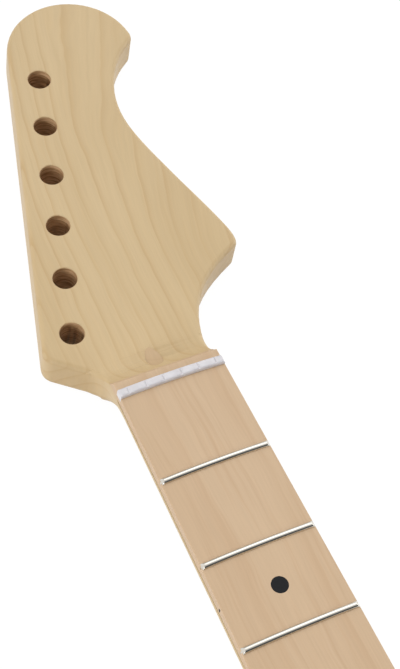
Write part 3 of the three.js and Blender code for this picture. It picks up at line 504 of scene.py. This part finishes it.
def inlay_black():
    """Black inlay plastic, sanded flush with the wood under the lacquer: not quite black, fine scuffs."""
    material, tree, shader = finish("sanded_black_inlay", Roughness=0.5, IOR=1.4, Specular_IOR_Level=0.25)
    place = node(tree, "TexCoord", {}, "Object")
    # sanding scuffs, drawn 0.7 mm across so that they show
    scuffs = node(tree, "TexNoise", {"Vector": place, "Scale": 1500.0, "Detail": 2.0})
    black = node(tree, "ValToRGB", {0: scuffs}, stops=((0.3, linear("101114")), (0.7, linear("17181B"))))
    tree.links.new(black, shader["Base Color"])
    return material


def turned_steel():
    """Plain turned steel: grey, with the lathe's fine rings and a little dark oxide."""
    material, tree, shader = finish("turned_rod_steel", Metallic=1.0, Roughness=0.4)
    place = node(tree, "TexCoord", {}, "Object")
    # tool rings, 0.25 mm apart along the rod
    rings = node(tree, "Mapping", {"Vector": place, "Scale": (300, 4000, 300)})
    rings = node(tree, "TexNoise", {"Vector": rings, "Scale": 1.0, "Detail": 2.0})
    metal = node(tree, "ValToRGB", {0: rings}, stops=((0.3, linear("7C7D80")), (0.7, linear("A4A5A6"))))
    tree.links.new(metal, shader["Base Color"])
    gloss = node(tree, "ValToRGB", {0: rings}, stops=((0.3, 0.3), (0.7, 0.5)))
    tree.links.new(gloss, shader["Roughness"])
    return material


neck_maple = lacquered_maple("satin_lacquered_maple", "D3BA90", "CBB186", "B68E57", pith=(100, -90),
                             ring=4.58, start=0.46, ring_share=0.34, streak_share=0.1, roughness=0.42)
board_maple = lacquered_maple("pink_maple_board", "D2B695", "CAAC8A", "BC9772", pith=(-40, -170),
                              ring=5.1, start=0.2, ring_share=0.3, streak_share=0.34, roughness=0.42)
plug_maple = lacquered_maple("maple_dowel_end", "CBAE88", "C4A67F", "B08E6B", pith=(4, -14),
                             ring=1.2, start=0.0, ring_share=0.3, streak_share=0.2, roughness=0.35)
hole_maple_painted_shade = drilled_maple()
fret_metal = nickel_silver()
nut_plastic = nut_white()
dot_plastic = inlay_black()
steel = turned_steel()


def placed(obj, material, slot, body, *nodes):
    """Gives a finished piece its material, its body and the nodes that it stands for."""
    if not obj.data.materials:
        obj.data.materials.append(material)
    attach(obj, body)
    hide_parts(*nodes)


# The neck blank: headstock, shaft and heel in one piece
def carved_neck():
    """The solid's own shape with smooth walls, and bare wood inside the tuner holes, whose darker colour
    there is painted shade.
    """
    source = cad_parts["neck_blank"]
    neck = source.copy()
    neck.data = source.data.copy()
    # the copy starts without the solid's own properties
    for key in list(neck.keys()):
        del neck[key]
    bpy.context.scene.collection.objects.link(neck)
    neck.name = neck.data.name = "carved_maple_neck"
    neck.data.materials.clear()
    trued(neck)
    neck.data.materials.append(neck_maple)
    neck.data.materials.append(hole_maple_painted_shade)
    # the holes' upright walls are bare wood with painted shade in their colour, and the sloped rims at their
    # ends keep the lacquer
    for face in neck.data.polygons:
        centre = face.center / MM
        away = min(math.hypot(centre.x - x, centre.y - y) for x, y in TUNERS)
        upright = abs(face.normal.z) < ACROSS
        if upright and away < TUNER_RADIUS + NEAR:
            face.material_index = 1
    sanded(neck)
    placed(neck, neck_maple, "maple", "neck", "neck_blank")


# The fingerboard
def cove_bar(radius):
    """A bar across the neck that cuts the cove behind the ledge."""
    return dowel("cove", (-HALF_SPAN, COVE_Y, COVE_Z), (HALF_SPAN, COVE_Y, COVE_Z), radius, sides=192)


def fretboard():
    """A tapered board with a crowned top, rolled edges, a seat for the nut, a sawn slot for each fret,
    and the front of the cove cut into its end."""
    # the blank ends just past the place where the cove meets the glue line
    end_y = LEDGE_Y + FRONT_WASTE
    half_end = END_WIDTH / 2
    board = block("maple_fretboard", (-half_end, BOARD_END_Y, GLUE_Z), (half_end, end_y, CLEAR_Z))
    edges_picked(board, degrees=0, where=lambda middle, along: middle.y > end_y - NEAR)
    narrow = half_width(end_y) / half_width(BOARD_END_Y)
    bpy.ops.transform.resize(value=(narrow, 1, 1), center_override=(0, end_y * MM, GLUE_Z * MM))
    bpy.ops.object.mode_set(mode="OBJECT")
    crowned = dowel("top", (0, BOARD_END_Y - OVERRUN, AXIS_Z), (0, end_y + OVERRUN, AXIS_Z),
                    BOARD_RADIUS, sides=720)
    cut(board, crowned, "INTERSECT")
    cut(board, cove_bar(COVE_RADIUS))
    rounded(board, BOARD_EDGE_ROUND, segments=5, where=lambda middle, along: (
        abs(along.y) > ALONG and middle.z > GLUE_Z + NEAR
        and abs(middle.x) > half_width(middle.y) - NEAR))
    cut(board, block("seat", (-HALF_SPAN, NUT_Y - FIT_GAP, TOP_Z - NUT_SEAT - FIT_GAP),
                     (HALF_SPAN, NUT_Y + NUT_THICKNESS + FIT_GAP, CLEAR_Z)))
    slots = []
    for fret in range(1, FRET_COUNT + 1):
        y = fret_y(fret)
        floor = crown(half_width(y)) - TANG_DEPTH - SLOT_EXTRA_DEPTH
        slots.append(block("slot", (-HALF_SPAN, y - SLOT_WIDTH / 2, floor),
                           (HALF_SPAN, y + SLOT_WIDTH / 2, CLEAR_Z)))
    cut(board, gathered(slots))
    trued(board, flat=0.1)
    sanded(board)
    placed(board, board_maple, "board_maple", "neck", "fingerboard")


# Fret wire
def fret_stock():
    """A length of fret wire bent to the board: a low crown on a thin tang."""
    bpy.ops.object.select_all(action="DESELECT")
    bpy.ops.mesh.primitive_circle_add(vertices=36, radius=FRET_WIDTH / 2 * MM, fill_type="NGON",
                                      location=(0, 0, BOARD_RADIUS * MM), rotation=(0, math.pi / 2, 0))
    bpy.ops.object.mode_set(mode="EDIT")
    bpy.ops.mesh.select_all(action="SELECT")
    flatter = (FRET_HEIGHT + FRET_SINK) / FRET_WIDTH * 2
    bpy.ops.transform.resize(value=(1, 1, flatter), center_override=(0, 0, BOARD_RADIUS * MM))
    bpy.ops.mesh.bisect(plane_co=(0, 0, (BOARD_RADIUS - FRET_SINK) * MM), plane_no=(0, 0, -1),
                        clear_outer=True)
    bpy.ops.object.mode_set(mode="OBJECT")
    stock = bent_over_board("fret_stock", HALF_SPAN, steps=30)
    section(BOARD_RADIUS - TANG_DEPTH, BOARD_RADIUS + TANG_ROOT, TANG_WIDTH)
    cut(stock, bent_over_board("tang", HALF_SPAN, steps=30), "UNION")
    return stock


def frets():
    """Each fret is cut from the stock, its ends filed at a slope inside the board's edge and eased."""
    stock = fret_stock()
    slope = math.tan(FRET_SLOPE)
    for number in range(1, FRET_COUNT + 1):
        y = fret_y(number)
        edge = half_width(y)
        end = edge - FRET_INSET
        wire = duplicate(stock, f"fret_wire_{number:02d}", (0, y, 0))
        for side in (-1, 1):
            sawn(wire, (side * (edge - TANG_INSET), y, TOP_Z), (side, 0, 0))
            sawn(wire, (side * end, y, crown(end)), (side, 0, slope))
        rounded(wire, FRET_EASE, degrees=40, where=lambda middle, along: (
            abs(middle.x) > end - FRET_HEIGHT and middle.z > crown(middle.x) + FRET_SINK))
        sanded(trued(wire), 40)
        placed(wire, fret_metal, "fret_wire", "neck", f"fret_{number:02d}")
    bpy.data.objects.remove(stock)


# The nut
def slotted_nut():
    """A nut in its seat, its top bent like the board, its edges and ends rounded, with six string slots."""
    middle_y = NUT_Y + NUT_THICKNESS / 2
    back_y = NUT_Y + NUT_THICKNESS
    side = half_width(back_y)
    section(BOARD_RADIUS - NUT_SEAT - NUT_FOOT_WASTE, BOARD_RADIUS + NUT_HEIGHT - NUT_TOP_INSIDE,
            NUT_THICKNESS)
    bent_over_board("bent_nut", side + NUT_END_WASTE, steps=14)
    nut = settled("slotted_white_nut", (0, middle_y, 0))
    sawn(nut, (0, middle_y, TOP_Z - NUT_SEAT), (0, 0, -1))
    rounded(trued(nut, flat=0.001), NUT_EDGE_ROUND, segments=6, where=lambda middle, along: (
        middle.z > crown(middle.x) + NUT_HEIGHT - NEAR and abs(along.y) < ACROSS))
    # the waste of each top corner passes the nut, and the bar that rounds the corner passes the waste
    front_y, behind_y = NUT_Y - OVERRUN, NUT_Y + CORNER_WASTE_REACH
    for end in (-1, 1):
        sawn(nut, (end * side, middle_y, TOP_Z), (end, 0, 0))
        x = end * (side - NUT_END_ROUND)
        z = crown(x) + NUT_HEIGHT - NUT_END_ROUND
        outer_x = x + end * CORNER_WASTE_WIDTH
        waste = block("waste", (min(x, outer_x), front_y, z), (max(x, outer_x), behind_y, CLEAR_Z))
        rounding = dowel("round", (x, front_y - OVERRUN, z), (x, behind_y + OVERRUN, z),
                         NUT_END_ROUND, sides=96)
        cut(nut, cut(waste, rounding))
    for string in range(STRING_COUNT):
        x = STRING_SPREAD * (string / (STRING_COUNT - 1) - 0.5)
        radius = FIRST_SLOT_RADIUS - SLOT_RADIUS_STEP * string
        z = crown(x) + NUT_HEIGHT - STRING_SLOT_DEPTH + radius
        cut(nut, dowel("string", (x, NUT_Y - OVERRUN, z), (x, back_y + OVERRUN, z), radius, sides=20))
    sanded(nut, 40)
    placed(nut, nut_plastic, "nut", "neck", "string_nut")


# Position dots
def dots():
    """Black dots let into the board's face and its bass edge: one of each for a marked fret, and two of
    each at the octave."""
    face = dowel("face_dot", (0, 0, BOARD_RADIUS - FACE_DOT_DEPTH), (0, 0, BOARD_RADIUS + FACE_DOT_PROUD),
                 FACE_DOT_RADIUS, sides=64)
    pin = dowel("side_dot", (SIDE_DOT_LENGTH, 0, 0), (0, 0, 0), SIDE_DOT_RADIUS, sides=32)
    for stock in (face, pin):
        sanded(rounded(stock, DOT_EASE, segments=2, degrees=50))
    for fret in DOT_FRETS:
        middle = (fret_y(fret) + fret_y(fret - 1)) / 2
        row = (("_a", -0.5), ("_b", 0.5)) if fret == OCTAVE_FRET else (("", 0.0),)
        for ending, share in row:
            name = f"{fret:02d}{ending}"
            turn = math.asin(OCTAVE_SPACING * share / BOARD_RADIUS)
            dot = duplicate(face, "inlaid_dot_" + name, (0, middle, AXIS_Z), turn)
            placed(dot, dot_plastic, "dot", "neck", "face_dot_" + name)
            y = middle + OCTAVE_SIDE_SPACING * share
            dot = duplicate(pin, "inlaid_side_dot_" + name, (-half_width(y), y, GLUE_Z + SIDE_DOT_RISE))
            placed(dot, dot_plastic, "dot", "neck", "side_dot_" + name)
    bpy.data.objects.remove(face)
    bpy.data.objects.remove(pin)


# Maple plug over the rod's anchor
def plug():
    """A maple dowel glued in over the rod's end, cut off level with the cove and the headstock's face."""
    y = NUT_Y + PLUG_REACH
    z = COVE_Z - math.sqrt(COVE_RADIUS**2 - (COVE_Y - y) ** 2)
    run, rise = math.cos(PLUG_TILT), math.sin(PLUG_TILT)
    low = (0, y - PLUG_BELOW * run, z - PLUG_BELOW * rise)
    high = (0, y + PLUG_ABOVE * run, z + PLUG_ABOVE * rise)
    peg = dowel("maple_dowel_plug", low, high, PLUG_RADIUS, sides=64)
    cut(peg, cove_bar(COVE_RADIUS - PLUG_PROUD))
    cut(peg, block("above", (-HALF_SPAN, COVE_Y, FACE_Z + PLUG_PROUD),
                   (HALF_SPAN, COVE_Y + HALF_SPAN, CLEAR_Z)))
    sanded(peg)
    placed(peg, plug_maple, "plug_maple", "neck", "anchor_plug")


# Adjusting nut at the heel
def adjuster():
    """A round steel nut with a domed end and a cross slot for a screwdriver."""
    low = HEEL_END_Y - ADJUSTER_STICKOUT
    high = low + ADJUSTER_LENGTH
    barrel = dowel("slotted_rod_nut", (0, high, ROD_Z), (0, low, ROD_Z), ADJUSTER_RADIUS, sides=64)
    rounded(barrel, ADJUSTER_DOME, segments=6, degrees=50, where=lambda middle, along: middle.y < low + NEAR)
    # the cross's two bars pass the nut all round, and the upright one passes the level one
    reach = ADJUSTER_RADIUS + 3 * OVERRUN
    half = ADJUSTER_SLOT_WIDTH / 2
    floor = low + ADJUSTER_SLOT_DEPTH
    cross = block("level", (-reach, low - 2 * OVERRUN, ROD_Z - half), (reach, floor, ROD_Z + half))
    upright = block("upright", (-half, low - 3 * OVERRUN, ROD_Z - reach), (half, floor, ROD_Z + reach))
    cut(barrel, cut(cross, upright, "UNION"))
    rounded(barrel, ADJUSTER_EASE, segments=2, degrees=50)
    sanded(barrel)
    placed(barrel, steel, "rod_steel", "adjuster", "adjusting_nut")


carved_neck()
fretboard()
frets()
slotted_nut()
dots()
plug()
adjuster()

# the rod's other parts keep their solids
for name, material in (("truss_rod", steel), ("truss_rod_anchor", steel), ("truss_rod_washer", steel),
                       ("truss_rod_fillet", neck_maple)):
    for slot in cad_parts[name].material_slots:
        slot.material = material


# Floor, room and lamps

# The share of the paper that the camera sees as even white. The rest is lit, which leaves a faint shadow.
EVEN_WHITE = 0.9
PAPER_STRENGTH = 1.06
ROOM_STRENGTH = 1.06
# How far the paper lies under the neck's lowest point, in millimetres
FLOOR_GAP = 0.2
# The headstock's start, in metres, where both lamps are aimed
LIT_SPOT = (0, 0.45, 0)


def white_paper():
    """Studio paper: white to the camera and in gloss, with the object's faint shadow."""
    material = bpy.data.materials.new("white_paper")
    material.use_nodes = True
    tree = material.node_tree
    tree.nodes.clear()
    seen = node(tree, "LightPath", {}, "Is Camera Ray")
    gloss = node(tree, "LightPath", {}, "Is Glossy Ray")
    clear = node(tree, "LightPath", {}, "Is Transmission Ray")
    seen = node(tree, "Math", {0: seen, 1: gloss}, operation="MAXIMUM")
    seen = node(tree, "Math", {0: seen, 1: clear}, operation="MAXIMUM")
    seen = node(tree, "Math", {0: seen, 1: EVEN_WHITE}, operation="MULTIPLY")
    paper = node(tree, "BsdfDiffuse", {"Color": (0.85, 0.85, 0.85, 1)})
    white = node(tree, "Emission", {"Color": (1, 1, 1, 1), "Strength": PAPER_STRENGTH})
    mixed = node(tree, "MixShader", {0: seen, 1: paper, 2: white})
    node(tree, "OutputMaterial", {"Surface": mixed})
    return material


bpy.ops.object.select_all(action="DESELECT")
bpy.ops.mesh.primitive_plane_add(size=12, location=(0, 0.3, cad_box[0][2] - FLOOR_GAP * MM))
floor = bpy.context.active_object
floor.name = "floor"
floor.data.materials.append(white_paper())


def studio():
    """A white room. It is dark beyond the heel, which draws the dark line along each fret, and brightest
    above the headstock's tip, which draws the bright one."""
    world = bpy.data.worlds.new("studio")
    bpy.context.scene.world = world
    world.use_nodes = True
    tree = world.node_tree
    tree.nodes.clear()
    toward = node(tree, "TexCoord", {}, "Generated")
    heelward = node(tree, "VectorMath", {0: toward, 1: (0.0, -1.0, 0.0)}, "Value", operation="DOT_PRODUCT")
    heelward = node(tree, "Math", {0: heelward, 1: 0.5, 2: 0.5}, operation="MULTIPLY_ADD")
    shade = node(tree, "ValToRGB", {0: heelward}, stops=(
        (0.0, 0.45), (0.12, 0.95), (0.5, 0.92), (0.7, 0.6), (0.82, 0.1)))
    above = node(tree, "VectorMath", {0: toward, 1: (0.4, 0.45, 0.8)}, "Value", operation="DOT_PRODUCT")
    above = node(tree, "ValToRGB", {0: above}, stops=((0.86, 0.0), (0.97, 0.9)))
    shade = node(tree, "Mix", {0: 1.0, 6: shade, 7: above}, 2, data_type="RGBA", blend_type="ADD")
    room = node(tree, "Background", {"Color": shade, "Strength": ROOM_STRENGTH})
    white = node(tree, "Background", {"Color": (1, 1, 1, 1), "Strength": 1.0})
    seen = node(tree, "LightPath", {}, "Is Camera Ray")
    mixed = node(tree, "MixShader", {0: seen, 1: room, 2: white})
    node(tree, "OutputWorld", {"Surface": mixed})


def soft_box(name, place, target, size, watts):
    """A soft rectangular lamp aimed at a point."""
    lamp = bpy.data.lights.new(name, "AREA")
    lamp.shape = "RECTANGLE"
    lamp.size, lamp.size_y = size
    lamp.energy = watts
    obj = bpy.data.objects.new(name, lamp)
    obj.location = place
    obj.rotation_euler = (Vector(target) - Vector(place)).to_track_quat("-Z", "Y").to_euler()
    bpy.context.scene.collection.objects.link(obj)


studio()
soft_box("treble_side", (1.4, 0.15, 0.22), LIT_SPOT, size=(0.9, 0.3), watts=6)
soft_box("bass_side", (-1.2, -0.3, 0.5), LIT_SPOT, size=(0.6, 0.4), watts=8)

bpy.context.scene.view_settings.view_transform = "Standard"
